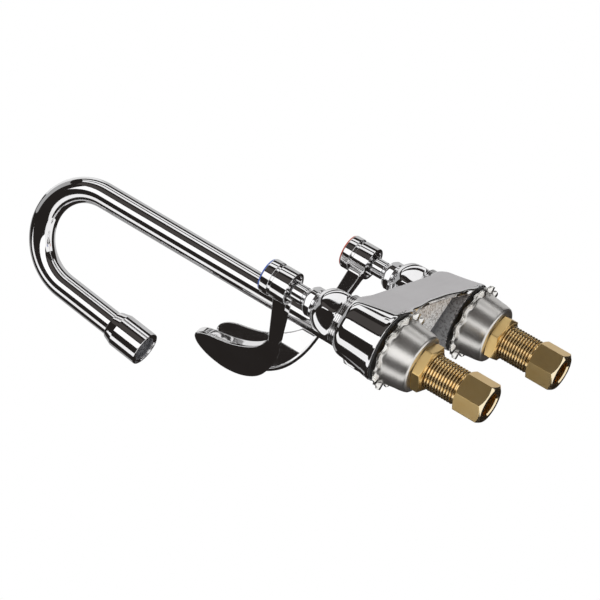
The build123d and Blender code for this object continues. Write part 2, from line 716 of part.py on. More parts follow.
def build():
    """Every piece at its place, by name."""
    pieces = {"body_casting": body_casting()}
    fixed = {
        "inlet_shank": inlet_shank(), "deck_gasket": deck_gasket(), "lock_cup": lock_cup(),
        "lock_nut": lock_nut(), "coupling_nut": coupling_nut(), "ferrule": ferrule(),
        "bonnet_ring": bonnet_ring(), "bonnet_nut": bonnet_nut(), "packing_nut": packing_nut(),
        "packing_ring": packing_ring(), "cartridge_body": cartridge_body(), "seat_seal": seat_seal(),
        "lower_disc": valve_disc(cartridge_bottom_z + disc_gap, disc_chamber_r - push_gap)}
    turning = {
        "stem": stem(), "stem_o_rings": stem_o_rings(), "upper_disc": valve_disc(upper_disc_z, stem_foot_r),
        "handle": handle(), "handle_screw": handle_screw(), "index_cap": index_cap(),
        "index_button": index_button()}
    for name, side in sides.items():
        place = Pos(side * valve_x, 0, 0)
        tight = {"lock_nut": lock_nut_turn[name], "coupling_nut": coupling_turn}
        for node, shape in fixed.items():
            pieces[f"{name}_{node}"] = place * Rot(0, 0, tight.get(node, 0)) * shape
        for node, shape in turning.items():
            pieces[f"{name}_{node}"] = place * Rot(0, 0, -side * handle_turn) * shape
    spout = {
        "spout_nut": spout_nut(), "spout_washers": spout_washers(), "spout_sleeve": spout_sleeve(),
        "spout_o_rings": spout_o_rings(), "spout_tube": spout_tube()}
    outlet = {
        "spout_end": spout_end(), "aerator_housing": aerator_housing(), "aerator_insert": aerator_insert(),
        "aerator_screen": aerator_screen(), "aerator_washer": aerator_washer()}
    foot = Pos(0, spout_y, 0)
    for node, shape in spout.items():
        pieces[node] = foot * shape
    frame = outlet_frame()
    for node, shape in outlet.items():
        pieces[node] = foot * (frame.location * shape)
    return pieces


os.makedirs("parts", exist_ok=True)
for node, shape in build().items():
    export_step(shape, f"parts/{node}.step")
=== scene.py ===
import json
from functools import reduce
from math import atan2, cos, pi, radians, sin, sqrt

import bmesh
import bpy
import numpy as np
from mathutils import Matrix, Vector


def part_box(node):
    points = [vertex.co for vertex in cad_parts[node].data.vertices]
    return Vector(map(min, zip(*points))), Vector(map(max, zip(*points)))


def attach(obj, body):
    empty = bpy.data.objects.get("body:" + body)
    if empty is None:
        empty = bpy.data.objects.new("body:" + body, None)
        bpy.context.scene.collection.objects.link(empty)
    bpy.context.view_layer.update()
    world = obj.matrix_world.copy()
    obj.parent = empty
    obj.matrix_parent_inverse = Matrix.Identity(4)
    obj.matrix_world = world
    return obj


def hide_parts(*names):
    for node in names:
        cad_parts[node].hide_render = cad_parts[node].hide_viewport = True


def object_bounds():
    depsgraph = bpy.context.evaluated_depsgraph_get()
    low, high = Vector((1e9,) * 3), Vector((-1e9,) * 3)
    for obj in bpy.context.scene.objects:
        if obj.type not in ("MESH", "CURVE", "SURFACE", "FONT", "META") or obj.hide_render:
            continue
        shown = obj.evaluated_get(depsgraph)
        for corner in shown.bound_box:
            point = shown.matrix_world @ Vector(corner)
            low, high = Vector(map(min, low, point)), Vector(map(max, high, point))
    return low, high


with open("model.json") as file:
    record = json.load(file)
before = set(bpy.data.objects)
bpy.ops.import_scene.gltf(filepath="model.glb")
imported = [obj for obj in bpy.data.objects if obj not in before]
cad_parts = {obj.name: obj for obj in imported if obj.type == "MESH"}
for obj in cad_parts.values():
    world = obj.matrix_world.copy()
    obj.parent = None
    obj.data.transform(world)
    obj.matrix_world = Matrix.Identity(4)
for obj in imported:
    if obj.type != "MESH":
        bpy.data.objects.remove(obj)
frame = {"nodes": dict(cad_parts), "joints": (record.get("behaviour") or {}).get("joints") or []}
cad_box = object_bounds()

# Shapes are worked out in millimetres and written to the meshes in metres.
MM = 0.001
AROUND = 96              # segments of a turned piece
AROUND_HEX = 240         # segments of a nut
FILLET_STEPS = 5

# Places that come from the frame
pivots = {joint["name"]: Vector(joint["pos_m"]) / MM for joint in frame["joints"]}
valve_x = pivots["cold_handle_turn"].x
spout_y = pivots["spout_swing"].y
sides = {"cold": 1, "hot": -1}
handle_turn = radians(28)    # closed handles point inwards by this angle
nut_turn = radians(21)       # where the bonnet nuts and the spout's nut come tight
packing_turn = radians(-8)   # the same for the packing nuts
lock_nut_turn = {"cold": radians(-4.5), "hot": radians(17)}
coupling_turn = radians(4.5)


def measures(node):
    """Half width along X, half width along Y, lowest Z and highest Z of a node."""
    low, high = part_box(node)
    return (high.x - low.x) / 2 / MM, (high.y - low.y) / 2 / MM, low.z / MM, high.z / MM


def shown(name, data):
    """A new object in the scene."""
    made = bpy.data.objects.new(name, data)
    bpy.context.scene.collection.objects.link(made)
    return made


def full_turn(count):
    return np.linspace(0, 2 * pi, count, endpoint=False)


# Meshes

def make_mesh(name, vertices, faces, crease=40, normals=None):
    """A mesh in metres, smooth apart from edges sharper than crease, in degrees."""
    mesh = bpy.data.meshes.new(name)
    mesh.from_pydata((np.asarray(vertices) * MM).tolist(), [], np.asarray(faces).tolist())
    if normals is None:
        shape = bmesh.new()
        shape.from_mesh(mesh)
        bmesh.ops.remove_doubles(shape, verts=shape.verts, dist=1e-7)
        bmesh.ops.dissolve_degenerate(shape, dist=1e-7, edges=shape.edges)
        bmesh.ops.recalc_face_normals(shape, faces=shape.faces)
        shape.to_mesh(mesh)
        shape.free()
    mesh.shade_smooth()
    if normals is None:
        mesh.set_sharp_from_angle(angle=radians(crease))
    else:
        mesh.normals_split_custom_set_from_vertices(np.asarray(normals).tolist())
    return mesh


def soften(corners):
    """A closed outline from (radius, height) corners, with those that also give a fillet rounded."""
    points = []
    count = len(corners)
    for index, (r, z, *fillet) in enumerate(corners):
        here = np.array((r, z), float)
        before = np.array(corners[index - 1][:2], float) - here
        after = np.array(corners[(index + 1) % count][:2], float) - here
        if not fillet:
            points.append(here)
            continue
        before_length = np.hypot(*before)
        after_length = np.hypot(*after)
        before /= before_length
        after /= after_length
        half_angle = np.arccos(np.clip(before @ after, -1, 1)) / 2
        reach = min(fillet[0] / np.tan(half_angle), 0.48 * before_length, 0.48 * after_length)
        start = here + before * reach
        end = here + after * reach
        for share in np.linspace(0, 1, FILLET_STEPS):
            points.append((1 - share) ** 2 * start + 2 * share * (1 - share) * here + share ** 2 * end)
    return np.array(points)


def spread(outline, step):
    """The same closed outline with points no further apart than step."""
    points = []
    for start, end in zip(outline, np.roll(outline, -1, axis=0)):
        count = max(1, int(np.ceil(np.hypot(*(end - start)[:2]) / step)))
        points += [start + (end - start) * share for share in np.arange(count) / count]
    return np.array(points)


def hexagon_r(turn, flats):
    """Radius of a hexagon with a corner on +X."""
    return flats / 2 / np.cos(np.mod(turn, pi / 3) - pi / 6)


def soft_min(a, b, blend):
    """The smaller of two values, rounded over where they meet."""
    share = np.clip(0.5 + 0.5 * (b - a) / blend, 0, 1)
    return b + (a - b) * share - blend * share * (1 - share)


def turned(name, outline, around=AROUND, flats=None, edge=0.3, crease=40):
    """A piece turned about +Z from a closed outline; flats cuts it to a hexagon."""
    turn = full_turn(around)
    r = outline[:, :1] + 0 * turn
    if flats:
        r = soft_min(r, hexagon_r(turn, flats) + 0 * r, edge)
    return ring_mesh(name, r, outline[:, 1:], crease)


def ring_mesh(name, r, z, crease):
    """A mesh of rings about +Z from their radii and heights, one row for each ring."""
    turn = full_turn(r.shape[1])
    vertices = np.stack((r * np.cos(turn), r * np.sin(turn), z + 0 * r), -1).reshape(-1, 3)
    return make_mesh(name, vertices, loop_faces(*r.shape), crease)


def loop_faces(rows, around):
    """Quads of a grid of rows that closes round each row, and from the last row to the first."""
    grid = np.arange(rows * around).reshape(rows, around)
    grid = np.vstack((grid, grid[:1]))
    right = np.roll(grid, -1, axis=1)
    return np.stack((grid[:-1], right[:-1], right[1:], grid[1:]), -1).reshape(-1, 4)


def contour(name, field, low, high, step):
    """The zero surface of a distance field, as quads with the field's own normals."""
    axes = [np.arange(a - 1.5 * step, b + 2 * step, step) for a, b in zip(low, high)]
    grid = np.stack(np.meshgrid(*axes, indexing="ij"), -1)
    value = field(grid)
    inside = value < 0
    corners = list(np.ndindex(2, 2, 2))
    cells = [slice(0, -1), slice(1, None)]
    count = sum(inside[cells[i], cells[j], cells[k]].astype(int) for i, j, k in corners)
    index = np.argwhere((count > 0) & (count < 8))
    number = np.full(count.shape, -1)
    number[tuple(index.T)] = np.arange(len(index))
    total = np.zeros((len(index), 3))
    hits = np.zeros(len(index))
    for axis in range(3):
        for corner in (c for c in corners if not c[axis]):
            start = index + corner
            end = start.copy()
            end[:, axis] += 1
            a = value[tuple(start.T)]
            b = value[tuple(end.T)]
            crossing = (a < 0) != (b < 0)
            share = np.where(crossing, a / np.where(crossing, a - b, 1), 0)
            point = grid[tuple(start.T)].copy()
            point[:, axis] += share * step
            total += point * crossing[:, None]
            hits += crossing
    points = total / hits[:, None]
    for _ in range(4):
        slope = gradient(field, points, step / 20)
        size = np.maximum((slope * slope).sum(-1), 0.05)
        move = np.clip(field(points) / size, -step, step)
        points = points - slope * move[:, None]
    normals = gradient(field, points, step / 4)
    normals /= np.linalg.norm(normals, axis=1)[:, None]
    quads = []
    for axis in range(3):
        edges = np.argwhere(np.diff(inside, axis=axis))
        solid = inside[tuple(edges.T)]
        first, second = (axis + 1) % 3, (axis + 2) % 3
        around = []
        for down, back in ((1, 1), (0, 1), (0, 0), (1, 0)):
            cell = edges.copy()
            cell[:, first] -= down
            cell[:, second] -= back
            around.append(number[tuple(cell.T)])
        quad = np.stack(around, -1)
        quads.append(np.where(solid[:, None], quad, quad[:, ::-1]))
    return make_mesh(name, points, np.vstack(quads), normals=normals), points, normals


def gradient(field, points, reach):
    """Slope of a field at points, by differences over reach."""
    slopes = []
    for axis in range(3):
        offset = np.zeros(3)
        offset[axis] = reach
        slopes.append((field(points + offset) - field(points - offset)) / (2 * reach))
    return np.stack(slopes, -1)


def overlap(*fields):
    """What lies in every field."""
    return reduce(np.maximum, fields)


def union(*fields):
    """What lies in any field."""
    return reduce(np.minimum, fields)


def soft_max(a, b, blend):
    """The larger of two values, rounded over where they meet."""
    return -soft_min(-a, -b, blend)


def box_field(across, up, half_across, low, high, rounding):
    """Distance to a rectangle with rounded corners in any two directions."""
    dx = np.abs(across) - half_across + rounding
    dz = np.abs(up - (low + high) / 2) - (high - low) / 2 + rounding
    outside = np.hypot(np.maximum(dx, 0), np.maximum(dz, 0))
    return outside + np.minimum(np.maximum(dx, dz), 0) - rounding


def polygon_field(x, y, corners):
    """Signed distance to a polygon."""
    best = np.full(x.shape, np.inf)
    inside = np.zeros(x.shape, bool)
    for (ax, ay), (bx, by) in zip(corners, list(corners[1:]) + [corners[0]]):
        ex, ey = bx - ax, by - ay
        wx, wy = x - ax, y - ay
        share = np.clip((wx * ex + wy * ey) / (ex * ex + ey * ey), 0, 1)
        best = np.minimum(best, (wx - ex * share) ** 2 + (wy - ey * share) ** 2)
        if ey != 0:
            crosses = (ay > y) != (by > y)
            inside ^= crosses & (x < ax + (y - ay) * ex / ey)
    return np.where(inside, -1, 1) * np.sqrt(best)


# Materials

def set_values(node, **values):
    """Sets even values on a node's sockets, with _ for the spaces in their names."""
    for socket, value in values.items():
        node.inputs[socket.replace("_", " ")].default_value = value
    return node


def add_node(tree, kind, **values):
    """A new shader node with these even values."""
    return set_values(tree.nodes.new("ShaderNode" + kind), **values)


def material(name, **values):
    """A Principled material with these even values."""
    made = bpy.data.materials.new(name)
    made.use_nodes = True
    return made, made.node_tree, set_values(made.node_tree.nodes["Principled BSDF"], **values)


def feed(node, socket, value):
    node.id_data.links.new(value, node.inputs[socket])


def noise(tree, scale, detail=3.0, stretch=(1, 1, 1), roughness=0.5):
    """Noise in the piece's own coordinates, stretched along its axes."""
    place = add_node(tree, "TexCoord")
    mapping = add_node(tree, "Mapping", Scale=stretch)
    texture = add_node(tree, "TexNoise", Scale=scale, Detail=detail, Roughness=roughness)
    feed(mapping, "Vector", place.outputs["Object"])
    feed(texture, "Vector", mapping.outputs["Vector"])
    return texture.outputs["Fac"]


def spread_values(tree, value, low, high, from_low=0.3, from_high=0.7):
    """Maps a noise value to a range."""
    node = add_node(tree, "MapRange", From_Min=from_low, From_Max=from_high, To_Min=low, To_Max=high)
    feed(node, "Value", value)
    return node.outputs["Result"]


def ramp(tree, value, *stops):
    """A colour ramp with (position, colour) stops."""
    node = add_node(tree, "ValToRGB")
    elements = node.color_ramp.elements
    while len(elements) < len(stops):
        elements.new(0.5)
    for element, (position, colour) in zip(elements, stops):
        element.position = position
        element.color = (*colour, 1)
    feed(node, "Fac", value)
    return node.outputs["Color"]


def bump(tree, shader, value, strength, distance):
    """Adds a bump to a shader, after any that it already has."""
    node = add_node(tree, "Bump", Strength=strength, Distance=distance * MM)
    feed(node, "Height", value)
    socket = shader.inputs["Normal"]
    if socket.is_linked:
        feed(node, "Normal", socket.links[0].from_socket)
    tree.links.new(node.outputs["Normal"], socket)


def metal(name, metallic, sheen, roughness, tone, dark, light, edge=0.3):
    """A metal with uneven sheen and tone: the noise settings and the range of each."""
    made, tree, shader = material(name, Metallic=metallic)
    feed(shader, "Roughness", spread_values(tree, noise(tree, *sheen), *roughness))
    feed(shader, "Base Color", ramp(tree, noise(tree, *tone), (edge, dark), (1 - edge, light)))
    return made, tree, shader


def chrome_material(name, waviness):
    """Polished chrome plate: nearly a mirror, with faint smears, and the slow waves of a polished casting."""
    made, tree, shader = metal(name, 1.0, (140, 4, (1, 1, 0.35)), (0.03, 0.075), (60, 2), (0.83, 0.82, 0.82),
                               (0.90, 0.90, 0.91), 0.35)
    if waviness:
        bump(tree, shader, noise(tree, 70, 1), 0.5, waviness)
    return made


def satin_chrome_material():
    """Linished chrome on the flat back: fine straight grain along the bridge."""
    grain = (500, 3, (0.05, 1, 1))
    made, tree, shader = metal("satin_chrome", 0.85, grain, (0.30, 0.36), (30, 2), (0.71, 0.69, 0.70),
                               (0.77, 0.75, 0.76))
    bump(tree, shader, noise(tree, *grain), 0.05, 0.03)
    return made


def raw_cast_painted_shade_material(name, low_painted_shade, high_painted_shade):
    """Unpolished sand-cast metal: grainy, brown towards the back, with painted shade that darkens it higher up
    inside.
    """
    made, tree, shader = material(name, Metallic=0.0)
    grains = noise(tree, 700, 4, roughness=0.7)
    lumps = noise(tree, 260, 2)
    feed(shader, "Roughness", spread_values(tree, grains, 0.32, 0.55))
    grey = ramp(tree, grains, (0.40, (0.34, 0.32, 0.31)), (0.48, (0.86, 0.84, 0.82)), (0.55, (1.0, 1.0, 1.0)))
    brown = ramp(tree, grains, (0.40, (0.30, 0.19, 0.11)), (0.50, (0.72, 0.56, 0.42)),
                 (0.60, (1.0, 0.96, 0.90)))
    split = add_node(tree, "SeparateXYZ")
    feed(split, "Vector", add_node(tree, "TexCoord").outputs["Object"])
    patch = add_node(tree, "Math")
    patch.operation = "MULTIPLY_ADD"
    patch.inputs[1].default_value = 0.02
    feed(patch, 0, noise(tree, 120, 3))
    feed(patch, 2, split.outputs["Y"])
    share = spread_values(tree, patch.outputs[0], 0.0, 0.8, 0.014, 0.032)
    mix = add_node(tree, "Mix")
    mix.data_type = "RGBA"
    feed(mix, "Factor", share)
    feed(mix, "A", grey)
    feed(mix, "B", brown)
    # Painted shade: the colour is mixed towards a dark grey, more the higher it lies inside the hollows.
    painted_recess_shade = add_node(tree, "Mix")
    painted_recess_shade.data_type = "RGBA"
    painted_recess_shade.inputs["B"].default_value = (0.10, 0.10, 0.11, 1)
    painted_shade_share = spread_values(tree, split.outputs["Z"], low_painted_shade, high_painted_shade, 0.0035, 0.006)
    feed(painted_recess_shade, "Factor", painted_shade_share)
    feed(painted_recess_shade, "A", mix.outputs["Result"])
    feed(shader, "Base Color", painted_recess_shade.outputs["Result"])
    bump(tree, shader, lumps, 0.5, 0.5)
    bump(tree, shader, grains, 0.9, 0.35)
    return made


def brass_material(name, dark, light, roughness, grain_stretch):
    """Machined brass with fine tool marks in its sheen, very slightly uneven in tone."""
    marks = (900, 2, grain_stretch)
    return metal(name, 0.95, marks, (roughness - 0.01, roughness + 0.01), (70, 3), dark, light)[0]


def zinc_material():
    """Satin zinc plate on stamped steel, with faint clouds and draw marks."""
    cloud = (60, 3)
    made, tree, shader = metal("zinc_steel", 0.95, cloud, (0.29, 0.34), cloud, (0.80, 0.78, 0.75),
                               (0.88, 0.86, 0.83))
    bump(tree, shader, noise(tree, 420, 2, (1, 1, 0.12)), 0.06, 0.04)
    return made


def zinc_edge_highlight_material():
    """Sheared edge of the zinc-plated steel: smoother than its faces, and painted brighter as a painted
    highlight along the edge.
    """
    scuff = (500, 3)
    return metal("zinc_edge_painted_highlight", 1.0, scuff, (0.16, 0.24), scuff, (0.84, 0.83, 0.80), (0.97, 0.96, 0.93))[0]


def plastic_material(name, dark, light, roughness):
    """Moulded plastic with a fine texture and slight mottling."""
    made, tree, shader = material(name, Roughness=roughness)
    mottle = noise(tree, 300, 3)
    feed(shader, "Base Color", ramp(tree, mottle, (0.3, dark), (0.7, light)))
    bump(tree, shader, noise(tree, 1500, 2), 0.06, 0.02)
    return made


chrome_turned = chrome_material("chrome_turned", 0)
chrome_cast = chrome_material("chrome_cast", 0.10)
chrome_handle = chrome_material("chrome_handle", 0.02)
satin_chrome = satin_chrome_material()
raw_cast_painted_shade = raw_cast_painted_shade_material("raw_cast_painted_shade", 0.0, 0.85)
# The walls' copy of the raw cast carries more painted shade all over.
raw_wall_painted_shade = raw_cast_painted_shade_material("raw_wall_painted_shade", 0.72, 0.88)
brass_nut = brass_material("brass_nut", (0.94, 0.64, 0.25), (0.99, 0.72, 0.33), 0.305, (1, 1, 0.06))
# Paler brass for the thread, whose light tint stands in for cream highlights: a painted highlight.
brass_thread_painted_highlight = brass_material("brass_thread_painted_highlight", (0.97, 0.72, 0.37), (1.0, 0.80, 0.47), 0.14, (0.06, 0.06, 1))
# Paler brass for the coupling's lower end: a painted highlight on its rim.
brass_end_painted_highlight = brass_material("brass_end_painted_highlight", (0.98, 0.80, 0.50), (1.0, 0.87, 0.62), 0.1, (0.06, 0.06, 1))
# A dark copy of brass for the thread's roots: painted shade.
brass_root_painted_shade = brass_material("brass_root_painted_shade", (0.22, 0.13, 0.06), (0.32, 0.20, 0.09), 0.3, (0.06, 0.06, 1))
zinc_steel = zinc_material()
zinc_edge_painted_highlight = zinc_edge_highlight_material()
rubber = plastic_material("rubber", (0.035, 0.035, 0.036), (0.085, 0.084, 0.083), 0.3)
ceramic = plastic_material("ceramic", (0.84, 0.83, 0.80), (0.90, 0.89, 0.87), 0.18)
nylon = plastic_material("nylon", (0.80, 0.79, 0.73), (0.88, 0.87, 0.82), 0.4)
grey_plastic = plastic_material("grey_plastic", (0.10, 0.10, 0.11), (0.17, 0.17, 0.18), 0.35)
blue_index = plastic_material("blue_index", (0.02, 0.08, 0.42), (0.04, 0.13, 0.55), 0.15)
red_index = plastic_material("red_index", (0.50, 0.05, 0.02), (0.66, 0.10, 0.03), 0.15)
stainless = zinc_steel


# Placing

def piece(name, mesh, finish, body, nodes, place=Matrix.Identity(4)):
    """One visible piece: it rides on a body, stands for its nodes and takes the finish it is given."""
    made = shown(name, mesh)
    made.matrix_world = place
    if not mesh.materials:
        mesh.materials.append(finish)
    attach(made, body)
    if nodes:
        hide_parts(*nodes)
    return made


def two_finishes(mesh, usual, special, picks):
    """Gives a mesh its usual finish, and a special one on the faces that a test picks."""
    for one in (usual, special):
        mesh.materials.append(one)
    for face in mesh.polygons:
        face.material_index = int(picks(face))
    return mesh


def out_from_axis(face):
    return face.center.to_2d().length / MM


def at(x, y, z=0, turn=0):
    return Matrix.Translation(Vector((x, y, z)) * MM) @ Matrix.Rotation(turn, 4, "Z")


# Casting

bell_top_z = measures("cold_bonnet_ring")[2]
collar_r = 11.2
casting_top_z = measures("body_casting")[3]
bell_rim_r = 22.4
bell_waist_r = 20.25
bell_waist_z = 10.5
bell_shoulder_r = 18.9
bell_shoulder_z = 21.2
bell_top_r = 15.8
bell_wall = 2.6
boss_r = 14.0
boss_recess = 2.0
pocket_height = 11.0
back_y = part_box("body_casting")[1].y / MM
back_lean = 0.2
back_top_z = 25.5
back_wall = 3.6
roof_z = 15.0
web_recess = 3.2
back_edge = 1.6
back_bottom_z = 1.6      # lower edge of the back, which runs down in an arch to the bells' rims
arch_start_x = 8.0
arch_length = 24.0
arch_drop = 2.2
web_half_base = valve_x - 21.8
front_top_z = 21.0
slope_start_y = -12.0
arm_half_width = 10.0
spout_boss_r = 12.5
spout_boss_bottom_z = 13.0
spout_boss_floor_z = 15.5
spout_thread_r = 11.5
spout_bore_r = 9.6
spout_boss_top_z = 32.0
shank_socket_r = 10.55
casting_edge = 1.2       # rounding of the casting's polished edges
casting_fillet = 4.0     # fillets where its forms meet
rim_z = -1.8             # the rim's lip stands round the gasket
rim_lip_r = 21.1
casting_step = 0.8       # cell of the casting's contour
hollow_edge = 0.8        # rounding of the hollows' edges
recess_margin = 12.0     # how far the recess reaches past the bridge's outline
bell_overlap = 0.4       # how far the recess cuts into the bells' rims
boss_overlap = 0.3       # the same for the spout's boss
under_spout_margin = 6.0
boss_margin = 0.5
web_edge = 0.5
under_spout_blend = 1.5
past_back = 5.0          # the outline runs past the back, which the leaning plane cuts
past_middle = -1.0       # and past the plane between the halves
flat_share = 0.985       # least share of a normal that points straight back on the flat
down_share = -0.6        # normals steeper than this face down


def circle_through(a, b, c):
    """Centre and radius of the circle through three points."""
    a, b, c = (np.array(v, float) for v in (a, b, c))
    chords = 2 * np.array((b - a, c - a))
    centre = np.linalg.solve(chords, np.array((b @ b - a @ a, c @ c - a @ a)))
    return centre, np.hypot(*(a - centre))


flare_centre, flare_r = circle_through(
    (bell_rim_r, 0), (bell_waist_r, bell_waist_z), (bell_shoulder_r, bell_shoulder_z))


def shoulder_circle():
    """Circle that carries on from the flare at the shoulder and ends at the bell's top."""
    start = np.array((bell_shoulder_r, bell_shoulder_z))
    end = np.array((bell_top_r, bell_top_z))
    inward = (start - flare_centre) / flare_r
    chord = end - start
    radius = chord @ chord / (2 * (chord @ inward))
    return start + inward * radius, abs(radius)


shoulder_centre, shoulder_r = shoulder_circle()


def bell_field(r, z):
    """Outside of a bell: sides that flare out to the rim below, and a rounded shoulder above."""
    flare = flare_r - np.hypot(r - flare_centre[0], z - flare_centre[1])
    shoulder = np.hypot(r - shoulder_centre[0], z - shoulder_centre[1]) - shoulder_r
    wall = np.where(z > bell_shoulder_z, shoulder, flare)
    return soft_max(wall, z - bell_top_z, casting_edge)


limb = Vector((-valve_x, spout_y, 0)).normalized()
side_x, side_y = -limb.y * arm_half_width, limb.x * arm_half_width


def bridge_plan(x, y, end_y):
    """The bridge from above, back to end_y, for one half."""
    return polygon_field(x, y, [
        (past_middle, end_y), (valve_x, end_y), (valve_x + side_x, side_y), (side_x, spout_y + side_y),
        (past_middle, spout_y + side_y)])


def casting_outside(p):
    """The casting without its hollows; x is folded, because both halves match."""
    x, y, z = np.abs(p[..., 0]), p[..., 1], p[..., 2]
    plan = bridge_plan(x, y, back_y + past_back)
    slope = (back_top_z - front_top_z) / (slope_start_y - spout_y - side_y + arm_half_width)
    front = (z - back_top_z + np.maximum(slope_start_y - y, 0) * slope) / sqrt(1 + slope * slope)
    arch = np.clip((x - arch_start_x) / arch_length, 0, 1)
    low_edge_z = back_bottom_z - arch_drop * arch * arch * (3 - 2 * arch)
    bridge = soft_max(soft_max(plan, front, casting_edge * 2), low_edge_z - z, casting_edge)
    bell_r = np.hypot(x - valve_x, y)
    bell = soft_max(np.maximum(bell_field(bell_r, z), bell_r - bell_rim_r), rim_z - z, casting_edge)
    boss = soft_max(np.hypot(x, y - spout_y) - spout_boss_r, z - back_top_z, casting_edge)
    boss = overlap(boss, back_bottom_z - z)
    shape = soft_min(soft_min(bridge, bell, casting_fillet), boss, casting_fillet)
    lean = (y - back_y + back_lean * z) / sqrt(1 + back_lean * back_lean)
    shape = soft_max(shape, lean, casting_edge)
    neck = overlap(np.hypot(x, y - spout_y) - spout_thread_r, z - spout_boss_top_z, back_bottom_z - z)
    collar = overlap(bell_r - collar_r, z - casting_top_z, rim_z - z)
    return union(shape, neck, collar)


def casting_hollow(p):
    """What is open below: the pocket of each bell, and the recess each side of the web."""
    x, y, z = np.abs(p[..., 0]), p[..., 1], p[..., 2]
    r = np.hypot(x - valve_x, y)
    inner_wall = y - back_y + back_wall + back_lean * z
    pocket = overlap(r - bell_waist_r + bell_wall, boss_r - r, z - pocket_height, inner_wall)
    below_boss = overlap(r - boss_r - boss_margin, z - boss_recess)
    gasket_seat = overlap(r - rim_lip_r, z)
    plan = bridge_plan(x, y, back_y - back_wall)
    spout_r = np.hypot(x, y - spout_y)
    outside_bell = bell_rim_r - bell_overlap - r
    outside_boss = spout_boss_r - boss_overlap - spout_r
    recess = overlap(plan - recess_margin, inner_wall, outside_bell, outside_boss, z - roof_z)
    web = polygon_field(x, y, [
        (-web_half_base, back_y - back_wall), (web_half_base, back_y - back_wall), (0, spout_y)])
    recess = soft_max(recess, -overlap(web, web_recess - z), web_edge)
    under_spout = overlap(spout_r - spout_boss_r - under_spout_margin, z - spout_boss_bottom_z)
    bores = overlap(r - shank_socket_r, z - bell_top_z)
    spout_bore = overlap(spout_r - spout_bore_r, spout_boss_floor_z - z)
    below = soft_min(recess, under_spout, under_spout_blend)
    return union(soft_min(pocket, below_boss, hollow_edge), below, bores, spout_bore, gasket_seat)


def casting_field(p):
    """The casting with its hollows cut out."""
    return soft_max(casting_outside(p), -casting_hollow(p), hollow_edge)


def make_casting():
    """Chrome outside, satin on the flat back, raw inside with painted shade: bright on what faces down, painted
    darker on the walls.
    """
    low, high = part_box("body_casting")
    mesh, points, normals = contour(
        "body_casting", casting_field, np.array(low) / MM, np.array(high) / MM, casting_step)
    for one in (chrome_cast, satin_chrome, raw_cast_painted_shade, raw_wall_painted_shade):
        mesh.materials.append(one)
    hollow = np.abs(casting_hollow(points)) < np.abs(casting_outside(points))
    backwards = np.array((0, 1, back_lean)) / sqrt(1 + back_lean * back_lean)
    flat = normals @ backwards > flat_share
    depth = points @ backwards
    hollow &= (depth < depth.max() - back_edge) | (points[:, 2] > back_bottom_z + 2 * back_edge)
    painted_shade_upright = normals[:, 2] > down_share
    corners = np.zeros(len(mesh.polygons) * 4, int)
    mesh.polygons.foreach_get("vertices", corners)
    corners = corners.reshape(-1, 4)
    outside_index, flat_index, raw_index, painted_shade_wall_index = range(4)
    # Painted shade: raw faces that stand upright get the darker walls' copy.
    raw = np.where(painted_shade_upright[corners].sum(1) > 2, painted_shade_wall_index, raw_index)
    plated = np.where(flat[corners].all(1), flat_index, outside_index)
    choice = np.where(hollow[corners].sum(1) > 1, raw, plated)
    mesh.polygons.foreach_set("material_index", choice.astype(np.int32))
    piece("body_casting_cast", mesh, None, "base", ["body_casting"])


# Inlet side

thread_pitch = 1.8143
thread_depth = 1.0
crest_share = 0.06       # flat share of the crests
flank_share = 0.80       # share of the pitch that the flanks take
root_share = 0.72        # depth below which the thread is painted dark, as painted shade in its roots
tail_step = 0.6          # how far the thread's end runs in to the tail
thread_start_z = -0.5
socket_depth = 12.0


def make_shank_mesh():
    """Shank with a true helical thread, a reduced tail and a bore."""
    r, _, low_z, high_z = measures("cold_inlet_shank")
    tail_r, tail_z, bore_r, socket_r, around, rows_per_turn = 8.3, -50.0, 5.6, 6.45, 128, 12
    heights = np.arange(thread_start_z, tail_z, -thread_pitch / rows_per_turn)
    turn = full_turn(around)
    phase = np.mod(heights[:, None] / thread_pitch - turn / (2 * pi), 1)
    flank = np.clip((np.abs(2 * phase - 1) - crest_share) / flank_share, 0, 1)
    flank = flank * flank * (3 - 2 * flank)
    fade = np.clip((heights - tail_z) / thread_pitch, 0, 1)[:, None]
    threads = r - thread_depth * (1 - flank) * fade - tail_step * (1 - fade)
    above = [(bore_r, high_z), (r, high_z), (r, thread_start_z + 0.1)]
    below = [(tail_r, tail_z), (tail_r, low_z), (socket_r, low_z), (socket_r, low_z + socket_depth),
             (bore_r, low_z + socket_depth)]
    rows = [(np.full(around, radius), z) for radius, z in above]
    rows += list(zip(threads, heights))
    rows += [(np.full(around, radius), z) for radius, z in below]
    radii, levels = zip(*rows)
    mesh = ring_mesh("inlet_shank", np.array(radii), np.array(levels)[:, None], 75)
    # Apart from the roots, the thread gets the paler brass as a painted highlight.
    root_low, root_high = r - thread_depth - 0.1, r - root_share * thread_depth
    # The roots get the dark brass as painted shade.
    return two_finishes(mesh, brass_thread_painted_highlight, brass_root_painted_shade, lambda face: root_low < out_from_axis(face) < root_high)


